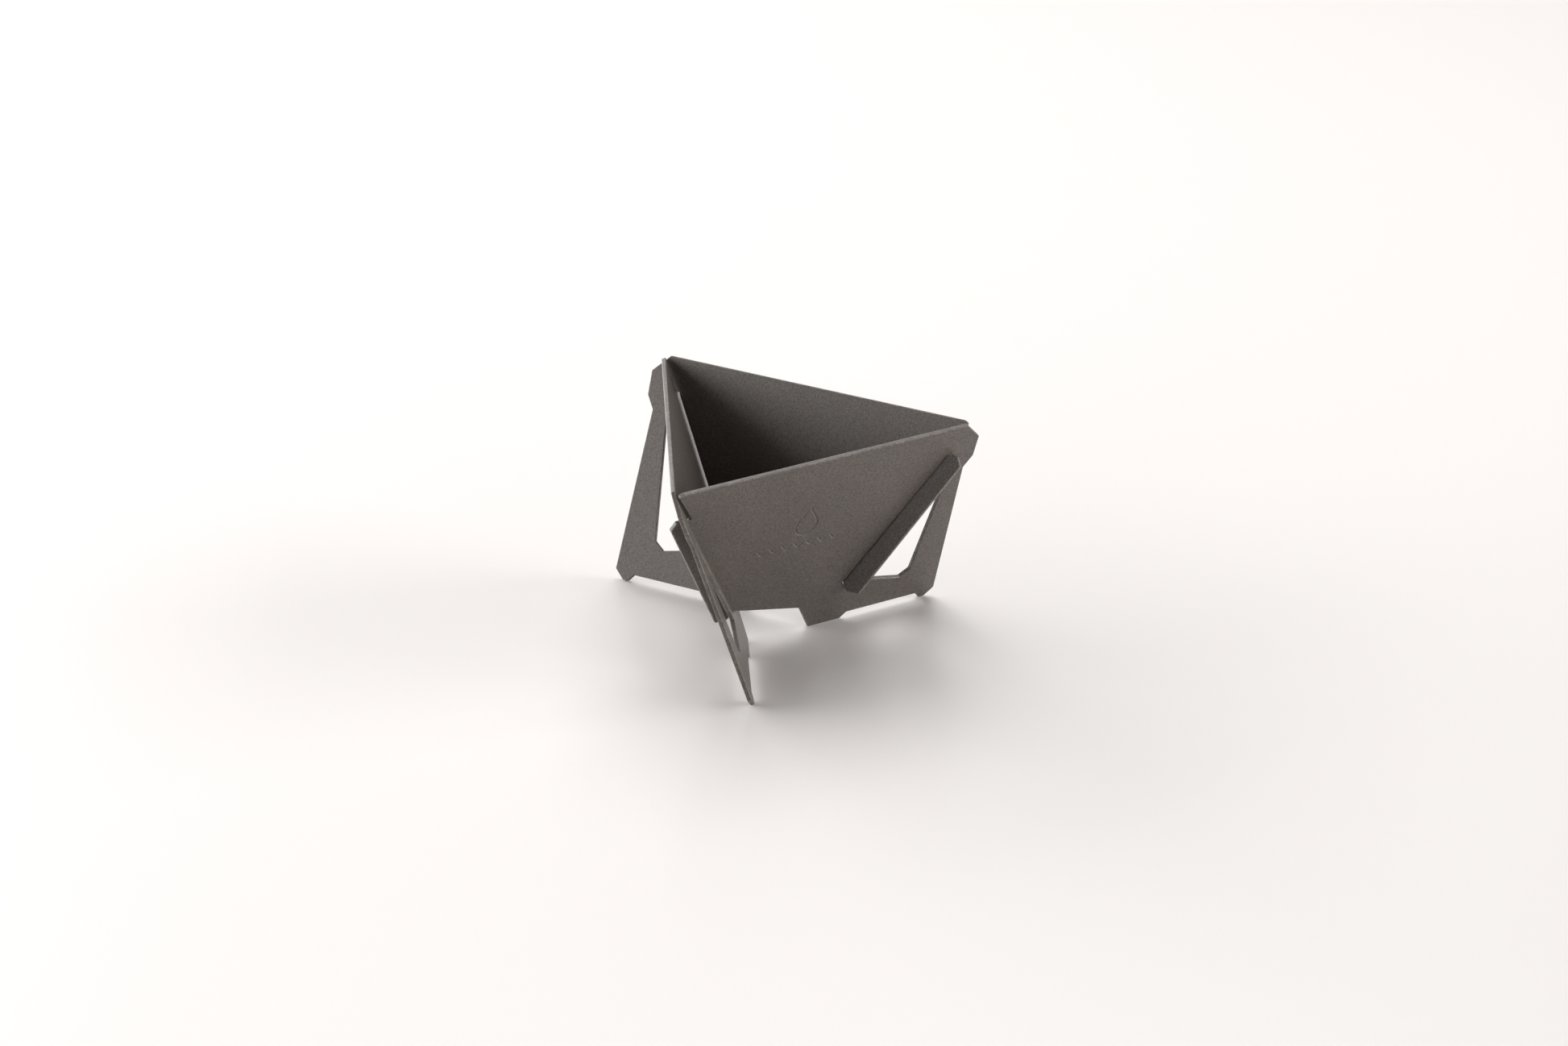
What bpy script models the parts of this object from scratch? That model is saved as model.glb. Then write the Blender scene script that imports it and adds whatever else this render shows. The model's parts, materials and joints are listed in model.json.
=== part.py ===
"""Flat-pack pour-over coffee dripper: three identical sheet-metal plates that slot into each other.

Put together, the plates form an open funnel shaped like an upturned tetrahedron, which a paper filter
cone sits in, on three legs. Each plate has a tab on its left edge and a slotted leg on its right, as
seen from outside. The front plate's tab passes through the left plate's slot, the left plate's through
the back plate's, and the back plate's through the front plate's, so each plate holds the next one.

A plate is drawn in its own frame: x to the right as seen from outside, y up the plate from the point
where the three middle planes would meet, z out through the outer face.
"""
import math

import bpy

MM = 0.001

# Driving dimensions
SHEET = 1.6 * MM                    # sheet thickness with its coat
LEAN = math.radians(19.75)          # each plate leans out this far from the vertical
PLAY = 0.3 * MM                     # clearance between a tab and the walls of its slot
RIM_Y = 105.4 * MM
FOOT_Y = 22.5 * MM
RIM_LEFT_X = -57.5 * MM
RIM_RIGHT_X = 58.1 * MM

# Right end of the plate: the cut corner, the nick under it and the leg
SIDE_X = 64.6 * MM                  # right side above the nick
SIDE_LOW_Y = 90.0 * MM
NICK_X = 61.7 * MM
NICK_Y = 85.1 * MM
LEG_X = 65.3 * MM                   # widest point of the leg, just above its foot
FOOT_CUT = 3.5 * MM                 # 45 degree cut between the leg's side and its foot
FOOT_WIDTH = 2.2 * MM
FOOT_HEIGHT = 2.5 * MM              # the foot stands this far below the leg's lower edge
FOOT_SLOPE = 2.1 * MM               # run of the foot's inner flank

# Tongue: the second foot of the plate, near the middle
TONGUE_LEFT_X = 12.2 * MM
TONGUE_RIGHT_X = 25.6 * MM
TONGUE_CUT = 2.3 * MM
OUTLET_X = 5.8 * MM                 # top of the tongue's left flank, where the outlet edge starts
OUTLET_Y = 33.6 * MM

# Tab, placed along and beyond the line where the plate meets its left neighbour
TAB_REACH = 6.1 * MM
TAB_TOP_Y = 92.4 * MM
TAB_CORNER = 3.2 * MM               # drop of the cut across the tab's upper outer corner
TAB_CORNER_RUN = 1.6 * MM
TAB_LOW_Y = 39.0 * MM
HOOK_RUN = 1.1 * MM                 # run of the slanted flank between the tab's foot and its root
ROOT_ALONG = 46.8 * MM              # lower root of the tab, where the outlet edge ends
ROOT_BEYOND = -0.85 * MM
SHOULDER_ALONG = 120.3 * MM
SHOULDER_WEDGE = 0.65 * MM          # the shoulder's lower end stands this much further off its neighbour

# Slot, along the line where the plate meets its right neighbour
SLOT_LOW = 44.4 * MM
SLOT_HIGH = 108.1 * MM

# Window between the slot and the leg
WEB = 3.8 * MM                      # strip of sheet left between the slot and the window
WINDOW_SIDE_LOW = (51.5 * MM, 38.8 * MM)
WINDOW_SIDE_SLOPE = math.radians(5.4)
WINDOW_CORNER = (47.9 * MM, 36.05 * MM)
WINDOW_SILL_SLOPE = math.radians(13.2)

COAT_COLOUR = (0.115, 0.103, 0.094, 1.0)
COAT_ROUGHNESS = 0.72
COAT_METALLIC = 0.0

# The plates, and how far each is turned about the vertical from the front one
PLATES = {"plate_front": 0.0, "plate_left": -120.0, "plate_back": 120.0}

# A plate meets each neighbour along a line through its frame's origin, this far off its y axis
MEET_ANGLE = math.atan(math.sqrt(3.0) * math.sin(LEAN))
# Angle between two plates, measured inside the funnel
DIHEDRAL = math.acos(0.5 * math.cos(LEAN) ** 2 - math.sin(LEAN) ** 2)
# In a plate's plane, its neighbour's thickness covers this much to each side of the meeting line
CROSSING = 0.5 * SHEET * (1.0 + math.cos(DIHEDRAL)) / math.sin(DIHEDRAL)
SLOT_HALF_WIDTH = CROSSING + PLAY / math.sin(DIHEDRAL)


def by_right_line(along, beyond):
    """Point at a distance along the right-hand meeting line, and beyond it towards the leg."""
    sin, cos = math.sin(MEET_ANGLE), math.cos(MEET_ANGLE)
    return along * sin + beyond * cos, along * cos - beyond * sin


def by_left_line(along, beyond):
    """Point at a distance along the left-hand meeting line, and beyond it towards the tab."""
    x, y = by_right_line(along, beyond)
    return -x, y


def on_left_line_at(y, beyond):
    """Point at a given height, beyond the left-hand meeting line."""
    return by_left_line((y + beyond * math.sin(MEET_ANGLE)) / math.cos(MEET_ANGLE), beyond)


def crossing_point(start, slope, other, other_slope):
    """Where two lines meet, each given by a point and its slope dy/dx."""
    x = (other[1] - start[1] + slope * start[0] - other_slope * other[0]) / (slope - other_slope)
    return x, start[1] + slope * (x - start[0])


def plate_outline():
    """The plate's outer edge, anticlockwise as seen from outside, starting at the foot."""
    foot_right = LEG_X - FOOT_CUT
    foot_left = foot_right - FOOT_WIDTH
    lower_edge = FOOT_Y + FOOT_HEIGHT
    shoulder_off = -SLOT_HALF_WIDTH
    tab_corner = on_left_line_at(TAB_TOP_Y - TAB_CORNER, TAB_REACH)
    root = by_left_line(ROOT_ALONG, ROOT_BEYOND)
    return [
        (foot_right, FOOT_Y),
        (LEG_X, FOOT_Y + FOOT_CUT),
        (NICK_X, NICK_Y),
        (SIDE_X, SIDE_LOW_Y),
        (SIDE_X, RIM_Y - (SIDE_X - RIM_RIGHT_X)),
        (RIM_RIGHT_X, RIM_Y),
        (RIM_LEFT_X, RIM_Y),
        by_left_line(SHOULDER_ALONG, shoulder_off),
        on_left_line_at(TAB_TOP_Y, shoulder_off - SHOULDER_WEDGE),
        (tab_corner[0] + TAB_CORNER_RUN, TAB_TOP_Y),
        tab_corner,
        on_left_line_at(TAB_LOW_Y, TAB_REACH),
        (root[0] - HOOK_RUN, TAB_LOW_Y),
        root,
        (OUTLET_X, OUTLET_Y),
        (TONGUE_LEFT_X, FOOT_Y),
        (TONGUE_RIGHT_X, FOOT_Y),
        (TONGUE_RIGHT_X + TONGUE_CUT, lower_edge),
        (foot_left - FOOT_SLOPE, lower_edge),
        (foot_left, FOOT_Y),
    ]


def slot_outline():
    """A straight slot, a little wider than a neighbour's thickness crossing it."""
    return [
        by_right_line(SLOT_LOW, -SLOT_HALF_WIDTH),
        by_right_line(SLOT_LOW, SLOT_HALF_WIDTH),
        by_right_line(SLOT_HIGH, SLOT_HALF_WIDTH),
        by_right_line(SLOT_HIGH, -SLOT_HALF_WIDTH),
    ]


def window_outline():
    """A triangle between the slot, the leg's side and the lower edge, with its lower corner cut."""
    web_side = by_right_line(SLOT_LOW, SLOT_HALF_WIDTH + WEB)
    web_slope = 1.0 / math.tan(MEET_ANGLE)
    leg_slope = 1.0 / math.tan(WINDOW_SIDE_SLOPE)
    sill_slope = -math.tan(WINDOW_SILL_SLOPE)
    return [
        crossing_point(WINDOW_CORNER, sill_slope, web_side, web_slope),
        WINDOW_CORNER,
        WINDOW_SIDE_LOW,
        crossing_point(WINDOW_SIDE_LOW, leg_slope, web_side, web_slope),
    ]


def slab(name, outline, thickness):
    """A closed solid: the outline, given anticlockwise, with its thickness centred on z = 0."""
    count = len(outline)
    half = 0.5 * thickness
    vertices = [(x, y, -half) for x, y in outline] + [(x, y, half) for x, y in outline]
    faces = [tuple(reversed(range(count))), tuple(range(count, 2 * count))]
    for i in range(count):
        j = (i + 1) % count
        faces.append((i, j, count + j, count + i))
    mesh = bpy.data.meshes.new(name)
    mesh.from_pydata(vertices, [], faces)
    return mesh


def add_object(name, mesh, parent, turn):
    """Links an object whose plate frame leans out and is turned about the vertical."""
    piece = bpy.data.objects.new(name, mesh)
    bpy.context.scene.collection.objects.link(piece)
    piece.parent = parent
    piece.rotation_euler = (0.5 * math.pi + LEAN, 0.0, turn)
    return piece


def add_cutter(name, outline, parent, turn):
    cutter = add_object(name, slab(name, outline, 3.0 * SHEET), parent, turn)
    cutter.hide_render = True
    cutter.display_type = "WIRE"
    return cutter


def coat_material(name):
    material = bpy.data.materials.new(name)
    material.use_nodes = True
    shader = material.node_tree.nodes["Principled BSDF"]
    shader.inputs["Base Color"].default_value = COAT_COLOUR
    shader.inputs["Roughness"].default_value = COAT_ROUGHNESS
    shader.inputs["Metallic"].default_value = COAT_METALLIC
    return material


def add_plate(name, parent, turn):
    """One plate: its outline, less its slot and its window."""
    plate = add_object(name, slab(name, plate_outline(), SHEET), parent, turn)
    plate.data.materials.append(coat_material(name + "_coat"))
    for opening, outline in (("slot", slot_outline()), ("window", window_outline())):
        cut = plate.modifiers.new(opening, "BOOLEAN")
        cut.operation = "DIFFERENCE"
        cut.object = add_cutter(f"{name}_{opening}_cutter", outline, parent, turn)
    return plate


def stand_on_origin(stand, plates):
    """Moves the dripper so that the middle of its box's base is at the origin."""
    bpy.context.view_layer.update()
    corners = [plate.matrix_world @ vertex.co for plate in plates for vertex in plate.data.vertices]
    lowest = [min(corner[axis] for corner in corners) for axis in range(3)]
    highest = [max(corner[axis] for corner in corners) for axis in range(3)]
    stand.location = (-0.5 * (lowest[0] + highest[0]), -0.5 * (lowest[1] + highest[1]), -lowest[2])


def main():
    for old in list(bpy.data.objects):
        bpy.data.objects.remove(old, do_unlink=True)
    stand = bpy.data.objects.new("stand", None)
    bpy.context.scene.collection.objects.link(stand)
    plates = [add_plate(name, stand, math.radians(degrees)) for name, degrees in PLATES.items()]
    stand_on_origin(stand, plates)


main()
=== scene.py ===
"""Looks of a flat-pack pour-over coffee dripper: three coated sheet-metal plates on a pale studio floor.

Each plate is made again from the outline of its CAD node, with rounded corners and arrises and with the
hook that holds it in its neighbour's slot. The front one has a pressed mark. Lengths are in metres, in the
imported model's frame.
"""
import json
import math

import bmesh
import bpy
import numpy as np
from mathutils import Matrix, Vector
from mathutils.geometry import delaunay_2d_cdt

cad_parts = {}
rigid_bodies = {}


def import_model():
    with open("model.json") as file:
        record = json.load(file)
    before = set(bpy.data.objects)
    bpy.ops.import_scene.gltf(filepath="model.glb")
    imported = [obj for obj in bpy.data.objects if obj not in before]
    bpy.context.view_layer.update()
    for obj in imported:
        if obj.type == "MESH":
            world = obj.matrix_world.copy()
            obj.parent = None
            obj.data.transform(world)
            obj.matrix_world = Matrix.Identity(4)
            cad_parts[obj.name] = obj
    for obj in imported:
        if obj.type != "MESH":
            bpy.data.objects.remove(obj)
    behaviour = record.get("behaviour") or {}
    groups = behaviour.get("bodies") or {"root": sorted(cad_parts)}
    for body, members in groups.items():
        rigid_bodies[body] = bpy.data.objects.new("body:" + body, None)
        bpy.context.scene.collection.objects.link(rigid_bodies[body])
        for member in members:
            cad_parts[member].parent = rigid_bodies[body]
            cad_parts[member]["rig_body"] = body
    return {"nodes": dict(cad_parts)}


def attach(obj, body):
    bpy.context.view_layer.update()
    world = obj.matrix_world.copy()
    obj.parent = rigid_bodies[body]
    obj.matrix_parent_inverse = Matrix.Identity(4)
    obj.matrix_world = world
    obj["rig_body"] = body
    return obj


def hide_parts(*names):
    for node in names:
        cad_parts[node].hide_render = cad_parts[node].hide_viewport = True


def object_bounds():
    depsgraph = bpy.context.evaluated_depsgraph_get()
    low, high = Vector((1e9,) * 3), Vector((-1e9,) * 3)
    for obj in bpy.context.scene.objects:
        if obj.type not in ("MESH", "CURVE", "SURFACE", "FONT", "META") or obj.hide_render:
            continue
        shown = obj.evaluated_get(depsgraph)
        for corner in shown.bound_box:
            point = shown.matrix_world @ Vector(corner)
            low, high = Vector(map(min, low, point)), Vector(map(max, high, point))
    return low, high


MM = 0.001

# Reading the CAD plates
WELD_DISTANCE = 0.002 * MM
STRAIGHT = math.radians(0.3)        # a corner that turns less than this is none
LEAN_OUT = (-0.7, -0.1)             # range of the vertical part of a plate's outward normal
PARALLEL = 0.999                    # least cosine between a face's normal and the outer face's

# No arris or corner of the coated sheet is sharp
ARRIS_RADIUS = 0.36 * MM
ARRIS_STEPS = 4
CORNER_RADIUS = 0.60 * MM
SLOT_CORNER_RADIUS = 0.30 * MM
RIM_CORNER_RADIUS = 1.5 * MM        # at the rim's left end
CORNER_STEP = math.radians(12.0)    # turn of a rounded corner from one vertex to the next
SIDE_SHARE = 0.48                   # a rounded corner takes up no more than this much of its shorter side
CUT_FACE_WEAR_AND_HIGHLIGHT = 0.5                  # lightening of the flat cut faces, against 1 on the arrises; partly rubbed wear, partly a painted highlight

# The hook at each tab's foot and the slot that fits it, which the CAD plates leave out so that they slide
TAB_FOOT_BELOW_RIM = 66.4 * MM
FOOT_TOLERANCE = 0.1 * MM
HOOK_DROP = 1.7 * MM
HOOK_HEEL = 1.2 * MM                # further run of the slanted flank between the hook and the tab's root
SLOT_LOW_RISE = (2.5 * MM, 0.8 * MM)    # of the slot's lower end, on its funnel side and its leg side
SLOT_HIGH_DROP = (1.0 * MM, 0.3 * MM)   # of its upper end, likewise
SLOT_EASE = 0.30 * MM                   # the slot is this much wider towards the funnel

# Pressed mark on the front plate: a plain drop above a ripple, placed from the middle of the rim
DROP_PLACE = (-1.9 * MM, -26.5 * MM)
DROP_BELLY_RADIUS = 4.3 * MM
DROP_TIP_RADIUS = 0.75 * MM
DROP_SPAN = 6.6 * MM                # from the belly's centre up to the tip's
DROP_STEP = math.radians(7.5)
RIPPLE_PLACE = (-4.3 * MM, -38.5 * MM)
RIPPLE_LENGTH = 35.0 * MM
RIPPLE_HEIGHT = 2.0 * MM
RIPPLE_WAVES = 7
RIPPLE_STEPS = 168
RIPPLE_END_STEPS = 8
GROOVE_HALF_WIDTH = 0.50 * MM
GROOVE_DEPTH = 0.20 * MM
GROOVE_STEPS = 4

# Camera: it looks at a point from a distance, turned and raised about it, with a slight roll
AIM = Vector((-3.79, -23.25, 45.63)) * MM
DISTANCE = 1540.114 * MM
CAMERA_TURN = math.radians(-33.558)
CAMERA_RISE = math.radians(24.783)
CAMERA_ROLL = math.radians(1.395)
LENS_MM = 101.94
SENSOR_MM = 36.0

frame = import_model()
CAD_BOX = [list(corner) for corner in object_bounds()]


# ---------------------------------------------------------------- shape

class Plate:
    """A CAD plate's own frame and outline.

    x runs along the rim to the right as seen from outside, from the rim's middle, y up the sheet from the
    rim, and c out of the sheet's middle plane.
    """

    def __init__(self, node):
        solid = bmesh.new()
        solid.from_mesh(node.data)
        bmesh.ops.remove_doubles(solid, verts=solid.verts, dist=WELD_DISTANCE)
        solid.normal_update()
        leaning_out = [face for face in solid.faces if LEAN_OUT[0] < face.normal.z < LEAN_OUT[1]]
        self.out = max(leaning_out, key=lambda face: face.calc_area()).normal.copy()
        self.right = Vector((0.0, 0.0, 1.0)).cross(self.out).normalized()
        self.up = self.out.cross(self.right)
        heights = [vertex.co.dot(self.up) for vertex in solid.verts]
        depths = [vertex.co.dot(self.out) for vertex in solid.verts]
        rim = [vertex.co.dot(self.right) for vertex in solid.verts
               if vertex.co.dot(self.up) > max(heights) - WELD_DISTANCE]
        self.half = 0.5 * (max(depths) - min(depths))
        self.origin = (self.right * 0.5 * (min(rim) + max(rim)) + self.up * max(heights)
                       + self.out * 0.5 * (min(depths) + max(depths)))
        self.loops = self.outer_face_loops(solid)
        solid.free()

    def outer_face_loops(self, solid):
        """The outer face's outline, anticlockwise as seen from outside, and its openings, clockwise."""
        face_set = {face for face in solid.faces if face.normal.dot(self.out) > PARALLEL}
        after = {}
        for face in face_set:
            for corner in face.loops:
                if sum(other in face_set for other in corner.edge.link_faces) == 1:
                    after[corner.vert] = corner.link_loop_next.vert
        loops = []
        while after:
            vertex = next(iter(after))
            loop = []
            while vertex in after:
                loop.append(vertex)
                vertex = after.pop(vertex)
            loops.append(without_straight([self.plan(vertex.co) for vertex in loop]))
        return sorted(loops, key=lambda loop: -enclosed_area(loop))

    def plan(self, place):
        away = place - self.origin
        return np.array((away.dot(self.right), away.dot(self.up)))

    def world(self, x, y, c):
        return self.origin + self.right * float(x) + self.up * float(y) + self.out * float(c)


def right_normal(a, b):
    """The direction to the right of the way from a to b."""
    x, y = (b - a) / np.linalg.norm(b - a)
    return np.array((y, -x))


def turned(vector, angle):
    cos, sin = math.cos(angle), math.sin(angle)
    return np.array((cos * vector[0] - sin * vector[1], sin * vector[0] + cos * vector[1]))


def turn_between(a, b):
    """Signed angle from direction a to direction b, anticlockwise positive."""
    return math.atan2(a[0] * b[1] - a[1] * b[0], a[0] * b[0] + a[1] * b[1])


def corners(loop):
    """Each point of a loop with the points before and after it."""
    return zip(loop[-1:] + loop[:-1], loop, loop[1:] + loop[:1])


def without_straight(loop):
    return [here for before, here, after in corners(loop)
            if abs(turn_between(right_normal(before, here), right_normal(here, after))) > STRAIGHT]


def enclosed_area(loop):
    """Area inside a loop, positive if it runs anticlockwise."""
    return 0.5 * sum(here[0] * after[1] - here[1] * after[0] for _, here, after in corners(loop))


def with_hook(loops):
    """Lowers the tab's foot into its hook, and closes up the slot's ends round it."""
    outline, slot, window = loops
    foot = [k for k, point in enumerate(outline) if abs(point[1] + TAB_FOOT_BELOW_RIM) < FOOT_TOLERANCE]
    outline = [point - (0.0, HOOK_DROP) if k in foot else point for k, point in enumerate(outline)]
    heel = max(foot, key=lambda k: outline[k][0])
    outline[heel] = outline[heel] - (HOOK_HEEL, 0.0)
    by_height = sorted(range(len(slot)), key=lambda k: slot[k][1])
    low, high = by_height[:2], by_height[2:]
    along = sum(slot[k] for k in high) - sum(slot[k] for k in low)
    along /= np.linalg.norm(along)
    funnel_side = np.array((-along[1], along[0]))
    for ends, moves in ((low, SLOT_LOW_RISE), (high, [-drop for drop in SLOT_HIGH_DROP])):
        near, far = sorted(ends, key=lambda k: -(slot[k] @ funnel_side))
        slot[near] = slot[near] + along * moves[0] + funnel_side * SLOT_EASE
        slot[far] = slot[far] + along * moves[1]
    return [outline, slot, window]


def rounded(loop, radii):
    """The loop with its corners rounded: points, and at each the direction out of the material."""
    points, normals = [], []
    for radius, (before, here, after) in zip(radii, corners(loop)):
        first, last = right_normal(before, here), right_normal(here, after)
        turn = turn_between(first, last)
        shortest = min(np.linalg.norm(here - before), np.linalg.norm(after - here))
        reach = min(radius, SIDE_SHARE * shortest / math.tan(0.5 * abs(turn)))
        side = math.copysign(reach, turn)
        centre = here - side * (first + last) / (1.0 + first @ last)
        steps = max(2, math.ceil(abs(turn) / CORNER_STEP))
        for k in range(steps + 1):
            normal = turned(first, turn * k / steps)
            points.append(centre + side * normal)
            normals.append(normal)
    return np.array(points), np.array(normals)


def drop_outline():
    """A drop's outline, anticlockwise: a round belly drawn up to a small round tip."""
    flank = math.asin((DROP_BELLY_RADIUS - DROP_TIP_RADIUS) / DROP_SPAN)
    belly = np.array(DROP_PLACE) - (0.0, 0.5 * DROP_SPAN)
    tip = belly + (0.0, DROP_SPAN)
    points, normals = [], []
    for centre, radius, start, end in (
        (tip, DROP_TIP_RADIUS, flank, math.pi - flank),
        (belly, DROP_BELLY_RADIUS, math.pi - flank, 2.0 * math.pi + flank),
    ):
        steps = math.ceil((end - start) / DROP_STEP)
        for k in range(steps + 1):
            angle = start + (end - start) * k / steps
            normal = np.array((math.cos(angle), math.sin(angle)))
            points.append(centre + radius * normal)
            normals.append(normal)
    return np.array(points), np.array(normals)


def ripple_outline():
    """A wavy line, once along each side and round each end, anticlockwise, with no width of its own."""
    wave = 2.0 * math.pi * RIPPLE_WAVES
    middle, ahead = [], []
    for k in range(RIPPLE_STEPS + 1):
        share = k / RIPPLE_STEPS
        rise = 0.5 * RIPPLE_HEIGHT * math.sin(wave * share)
        slope = 0.5 * RIPPLE_HEIGHT * wave * math.cos(wave * share) / RIPPLE_LENGTH
        middle.append(np.array(RIPPLE_PLACE) + (RIPPLE_LENGTH * (share - 0.5), rise))
        ahead.append(np.array((1.0, slope)) / math.hypot(1.0, slope))
    points, normals = [], []
    for line, ways in ((middle, ahead), (middle[::-1], [-way for way in ahead[::-1]])):
        for point, way in zip(line, ways):
            points.append(point)
            normals.append(np.array((way[1], -way[0])))
        for k in range(1, RIPPLE_END_STEPS):
            points.append(line[-1])
            normals.append(turned(normals[-k], math.pi * k / RIPPLE_END_STEPS))
    return np.array(points), np.array(normals)


def inside(point, loops):
    """Whether a point is inside an odd number of loops."""
    odd = False
    for loop in loops:
        x, y = loop[:, 0], loop[:, 1]
        x2, y2 = np.roll(x, -1), np.roll(y, -1)
        rows = (y > point[1]) != (y2 > point[1])
        crossing = x[rows] + (point[1] - y[rows]) * (x2[rows] - x[rows]) / (y2[rows] - y[rows])
        odd ^= bool(np.count_nonzero(crossing > point[0]) % 2)
    return odd


class Shell:
    """Collects a plate's vertices with their directions, and its faces."""

    def __init__(self, plate):
        self.plate = plate
        self.vertices, self.directions, self.faces, self.arris = [], [], [], []

    def ring(self, points, normals, c, lean):
        """A ring of vertices at depth c, whose directions lean from the loop's normals to the sheet's."""
        start = len(self.vertices)
        for (x, y), (nx, ny) in zip(points, normals):
            self.vertices.append(self.plate.world(x, y, c))
            flat = self.plate.right * float(nx) + self.plate.up * float(ny)
            self.directions.append(flat * math.cos(lean) + self.plate.out * math.sin(lean))
        return list(range(start, len(self.vertices)))

    def strip(self, low, high, arris=0.0):
        """Quads between two rings of one length."""
        for a, b in zip(range(len(low)), list(range(1, len(low))) + [0]):
            self.faces.append((low[a], low[b], high[b], high[a]))
            self.arris.append(arris)

    def fill(self, rings, loops, facing_out):
        """Triangles over the flat area between rings."""
        where = [index for ring in rings for index in ring]
        flat = [Vector(point) for loop in loops for point in loop]
        edges, start = [], 0
        for loop in loops:
            edges += [(start + k, start + (k + 1) % len(loop)) for k in range(len(loop))]
            start += len(loop)
        places, _, triangles, origins, _, _ = delaunay_2d_cdt(flat, edges, [], 0, 1e-9)
        sources = [origin[0] for origin in origins]
        for triangle in triangles:
            centre = sum((places[k] for k in triangle), Vector((0.0, 0.0))) / 3.0
            if inside(centre, loops):
                face = [where[sources[k]] for k in triangle]
                self.faces.append(face if facing_out else face[::-1])
                self.arris.append(0.0)

    def mesh(self, name):
        mesh = bpy.data.meshes.new(name)
        mesh.from_pydata(self.vertices, [], self.faces)
        mesh.attributes.new("arris", "FLOAT", "FACE").data.foreach_set("value", self.arris)
        mesh.shade_smooth()
        directions = [direction.normalized() for direction in self.directions]
        mesh.normals_split_custom_set_from_vertices(directions)
        return mesh


def groove(shell, outline, offsets):
    """Rings of a pressed groove about an outline, from its outer border inwards, with a soft bottom."""
    points, normals = outline
    rings = []
    for offset in offsets:
        phase = math.pi * offset / GROOVE_HALF_WIDTH
        depth = 0.5 * GROOVE_DEPTH * (1.0 + math.cos(phase))
        slope = 0.5 * math.pi * GROOVE_DEPTH / GROOVE_HALF_WIDTH * math.sin(phase)
        lean = 0.5 * math.pi + math.atan(slope)
        rings.append(shell.ring(points + offset * normals, normals, shell.plate.half - depth, lean))
    for here, further_in in zip(rings, rings[1:]):
        shell.strip(here, further_in)
    return rings


def coated_plate(name, node, marked):
    """The plate as one closed skin, with rounded corners and arrises."""
    plate = Plate(node)
    shell = Shell(plate)
    half, radius = plate.half, ARRIS_RADIUS
    low_rings, high_rings, loops = [], [], []
    outline, slot, window = with_hook(plate.loops)
    rim_left = min(range(len(outline)), key=lambda k: outline[k][0] - outline[k][1])
    outline_radii = [RIM_CORNER_RADIUS if k == rim_left else CORNER_RADIUS for k in range(len(outline))]
    for loop, radii in (
        (outline, outline_radii),
        (slot, [SLOT_CORNER_RADIUS] * len(slot)),
        (window, [CORNER_RADIUS] * len(window)),
    ):
        points, normals = rounded(loop, radii)
        rings = []
        for side in (-1.0, 1.0):
            for k in range(ARRIS_STEPS + 1):
                turn = 0.5 * math.pi * k / ARRIS_STEPS
                lean = turn if side > 0.0 else turn - 0.5 * math.pi
                inset = radius * (1.0 - math.cos(lean))
                c = side * (half - radius) + radius * math.sin(lean)
                rings.append(shell.ring(points - inset * normals, normals, c, lean))
        # Arrises weigh 1 and cut faces less in the coat's lightening, which is partly wear and partly a
        # painted highlight
        for k, (low, high) in enumerate(zip(rings, rings[1:])):
            shell.strip(low, high, CUT_FACE_WEAR_AND_HIGHLIGHT if k == ARRIS_STEPS else 1.0)
        low_rings.append(rings[0])
        high_rings.append(rings[-1])
        loops.append(points - radius * normals)
    shell.fill(low_rings, loops, False)
    if marked:
        offsets = [GROOVE_HALF_WIDTH * (1.0 - k / GROOVE_STEPS) for k in range(2 * GROOVE_STEPS + 1)]
        drop, ripple = drop_outline(), ripple_outline()
        drop_rings = groove(shell, drop, offsets)
        ripple_rings = groove(shell, ripple, offsets[:GROOVE_STEPS + 1])
        high_rings += [drop_rings[0], drop_rings[-1], ripple_rings[0]]
        for (points, normals), side in ((drop, 1.0), (drop, -1.0), (ripple, 1.0)):
            loops.append(points + side * GROOVE_HALF_WIDTH * normals)
    shell.fill(high_rings, loops, True)
    piece = bpy.data.objects.new(name, shell.mesh(name))
    bpy.context.scene.collection.objects.link(piece)
    return piece


# ---------------------------------------------------------------- material

COAT_COLOUR = (0.097, 0.082, 0.072)
COAT_ROUGHNESS = (0.47, 0.37)       # in the grain's hollows and on its tops
COAT_IOR = 1.5
GRAIN_PER_METRE = 1600.0
SPECKLES_PER_METRE = 2.6 * GRAIN_PER_METRE
CLOUDS_PER_METRE = 45.0
# Lighter patches on arrises and cut faces: partly rubbed wear, partly a painted highlight on the rims
WEAR_AND_HIGHLIGHT_PATCHES_PER_METRE = 260.0
NOISE_RANGE = (0.3, 0.7)            # where nearly all of a noise's values lie
GRAIN_TONE = (0.62, 1.38)           # each layer scales the coat's colour from the first to the second
SPECKLE_TONE = (0.80, 1.20)
CLOUD_TONE = (0.95, 1.05)
WEAR_AND_HIGHLIGHT_RANGE = (0.40, 0.62)            # patches' noise from here to there is lightened by the amounts below, as wear and painted highlight
WEAR_AND_HIGHLIGHT_AMOUNT = (0.2, 1.0)
WEAR_AND_HIGHLIGHT_LIGHTENING = 0.8                # how much lighter a fully lightened arris is, partly wear and partly painted highlight
GRAIN_BUMP = 0.5
GRAIN_HEIGHT = 0.12 * MM


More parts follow.
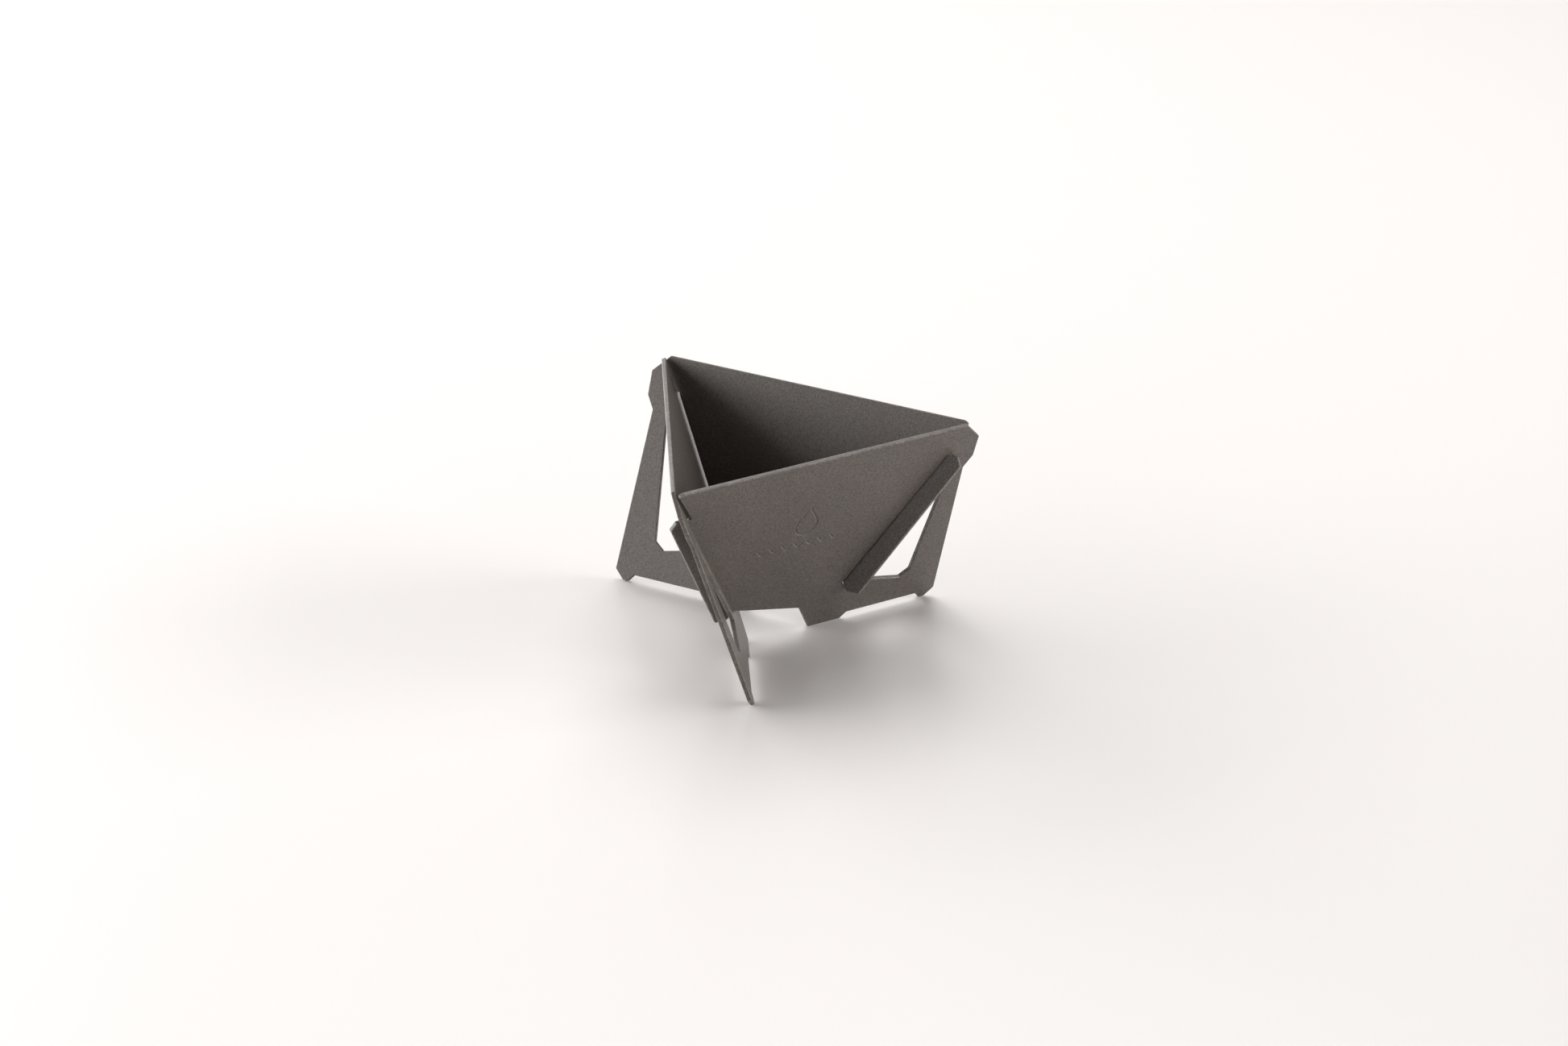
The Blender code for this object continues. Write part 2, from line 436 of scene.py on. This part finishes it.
def coat_material():
    """A matte dark coat: finely speckled, with faint clouds, a little lighter on its arrises, partly as
    rubbed wear and partly as a painted highlight.
    """
    material = bpy.data.materials.new("coat")
    material.use_nodes = True
    nodes, links = material.node_tree.nodes, material.node_tree.links
    shader = nodes["Principled BSDF"]
    shader.inputs["Metallic"].default_value = 0.0
    shader.inputs["IOR"].default_value = COAT_IOR
    where = nodes.new("ShaderNodeTexCoord")

    def noise(scale, detail, roughness):
        node = nodes.new("ShaderNodeTexNoise")
        node.inputs["Scale"].default_value = scale
        node.inputs["Detail"].default_value = detail
        node.inputs["Roughness"].default_value = roughness
        links.new(where.outputs["Object"], node.inputs["Vector"])
        return node.outputs["Fac"]

    def remap(value, span, to_span):
        node = nodes.new("ShaderNodeMapRange")
        node.inputs["From Min"].default_value, node.inputs["From Max"].default_value = span
        node.inputs["To Min"].default_value, node.inputs["To Max"].default_value = to_span
        links.new(value, node.inputs["Value"])
        return node.outputs["Result"]

    def product(a, b):
        node = nodes.new("ShaderNodeMath")
        node.operation = "MULTIPLY"
        links.new(a, node.inputs[0])
        links.new(b, node.inputs[1])
        return node.outputs["Value"]

    grain = noise(GRAIN_PER_METRE, detail=2.0, roughness=0.65)
    speckle = noise(SPECKLES_PER_METRE, detail=1.0, roughness=0.5)
    cloud = noise(CLOUDS_PER_METRE, detail=3.0, roughness=0.5)
    tone = product(remap(grain, NOISE_RANGE, GRAIN_TONE), remap(speckle, NOISE_RANGE, SPECKLE_TONE))
    tone = product(tone, remap(cloud, NOISE_RANGE, CLOUD_TONE))

    # Arrises and cut faces painted lighter in noisy patches: partly wear, partly a painted highlight
    arris = nodes.new("ShaderNodeAttribute")
    arris.attribute_name = "arris"
    patches = noise(WEAR_AND_HIGHLIGHT_PATCHES_PER_METRE, detail=4.0, roughness=0.65)
    wear_and_highlight = product(arris.outputs["Fac"], remap(patches, WEAR_AND_HIGHLIGHT_RANGE, WEAR_AND_HIGHLIGHT_AMOUNT))
    tone = product(tone, remap(wear_and_highlight, (0.0, 1.0), (1.0, 1.0 + WEAR_AND_HIGHLIGHT_LIGHTENING)))

    colour = nodes.new("ShaderNodeVectorMath")
    colour.operation = "SCALE"
    colour.inputs[0].default_value = COAT_COLOUR
    links.new(tone, colour.inputs["Scale"])
    links.new(colour.outputs["Vector"], shader.inputs["Base Color"])
    links.new(remap(grain, NOISE_RANGE, COAT_ROUGHNESS), shader.inputs["Roughness"])

    bump = nodes.new("ShaderNodeBump")
    bump.inputs["Strength"].default_value = GRAIN_BUMP
    bump.inputs["Distance"].default_value = GRAIN_HEIGHT
    links.new(product(grain, speckle), bump.inputs["Height"])
    links.new(bump.outputs["Normal"], shader.inputs["Normal"])
    return material


def build_plates():
    coat = coat_material()
    for name, node in sorted(frame["nodes"].items()):
        piece = coated_plate(name + "_coated", node, name == "plate_front")
        piece.data.materials.append(coat)
        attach(piece, node["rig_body"])
        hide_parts(name)


# ---------------------------------------------------------------- studio

FLOOR_HALF = 4.0
FLOOR_ROUGHNESS = 0.3
FLOOR_COLOUR = (0.80, 0.765, 0.748)


def build_floor():
    """A large pale floor with a satin sheen, under the dripper's feet."""
    mesh = bpy.data.meshes.new("floor")
    ways = ((-1.0, -1.0), (1.0, -1.0), (1.0, 1.0), (-1.0, 1.0))
    vertices = [(x * FLOOR_HALF, y * FLOOR_HALF, CAD_BOX[0][2]) for x, y in ways]
    mesh.from_pydata(vertices, [], [(0, 1, 2, 3)])
    floor = bpy.data.objects.new("floor", mesh)
    bpy.context.scene.collection.objects.link(floor)
    material = bpy.data.materials.new("floor")
    material.use_nodes = True
    shader = material.node_tree.nodes["Principled BSDF"]
    shader.inputs["Base Color"].default_value = (*FLOOR_COLOUR, 1.0)
    shader.inputs["Roughness"].default_value = FLOOR_ROUGHNESS
    floor.data.materials.append(material)


# Soft lights: name, turn about the object from its front towards the right, rise, and power in watts
LIGHT_DISTANCE = 2.0
LIGHT_SIZE = 1.5
LIGHTS = (
    ("front_low", 11.0, 12.0, 10.0),
    ("right_low", 56.0, 12.0, 44.0),
    ("behind", 146.0, 35.0, 5.0),
    ("behind_high", 146.0, 60.0, 26.0),
    ("backdrop", 191.0, 12.0, 41.0),
    ("left_low", 236.0, 12.0, 47.0),
    ("left_front", 281.0, 12.0, 12.0),
)


def direction_at(turn, rise):
    """The way out from the object, turned from its front towards the right and then raised."""
    return Vector((math.sin(turn) * math.cos(rise), -math.cos(turn) * math.cos(rise), math.sin(rise)))


def add_light(name, turn, rise, power):
    """A square soft light that faces the object."""
    away = direction_at(math.radians(turn), math.radians(rise))
    light = bpy.data.lights.new(name, "AREA")
    light.shape = "SQUARE"
    light.size = LIGHT_SIZE
    light.energy = power
    lamp = bpy.data.objects.new(name, light)
    bpy.context.scene.collection.objects.link(lamp)
    lamp.location = away * LIGHT_DISTANCE
    lamp.rotation_euler = away.to_track_quat("Z", "Y").to_euler()
    lamp.visible_camera = False


def build_world():
    """No light but the lamps'."""
    world = bpy.data.worlds.new("studio")
    world.use_nodes = True
    world.node_tree.nodes["Background"].inputs["Strength"].default_value = 0.0
    bpy.context.scene.world = world


def build_camera():
    back = direction_at(CAMERA_TURN, CAMERA_RISE)
    right = (-back).cross(Vector((0.0, 0.0, 1.0))).normalized()
    up = right.cross(-back)
    cos, sin = math.cos(CAMERA_ROLL), math.sin(CAMERA_ROLL)
    right, up = cos * right + sin * up, cos * up - sin * right
    data = bpy.data.cameras.new("camera")
    data.lens = LENS_MM
    data.sensor_width = SENSOR_MM
    data.sensor_fit = "HORIZONTAL"
    camera = bpy.data.objects.new("camera", data)
    bpy.context.scene.collection.objects.link(camera)
    place = Matrix((right, up, back)).transposed().to_4x4()
    place.translation = AIM + back * DISTANCE
    camera.matrix_world = place
    bpy.context.scene.camera = camera


build_plates()
build_floor()
for light in LIGHTS:
    add_light(*light)
build_world()
build_camera()
bpy.context.scene.view_settings.view_transform = "Standard"
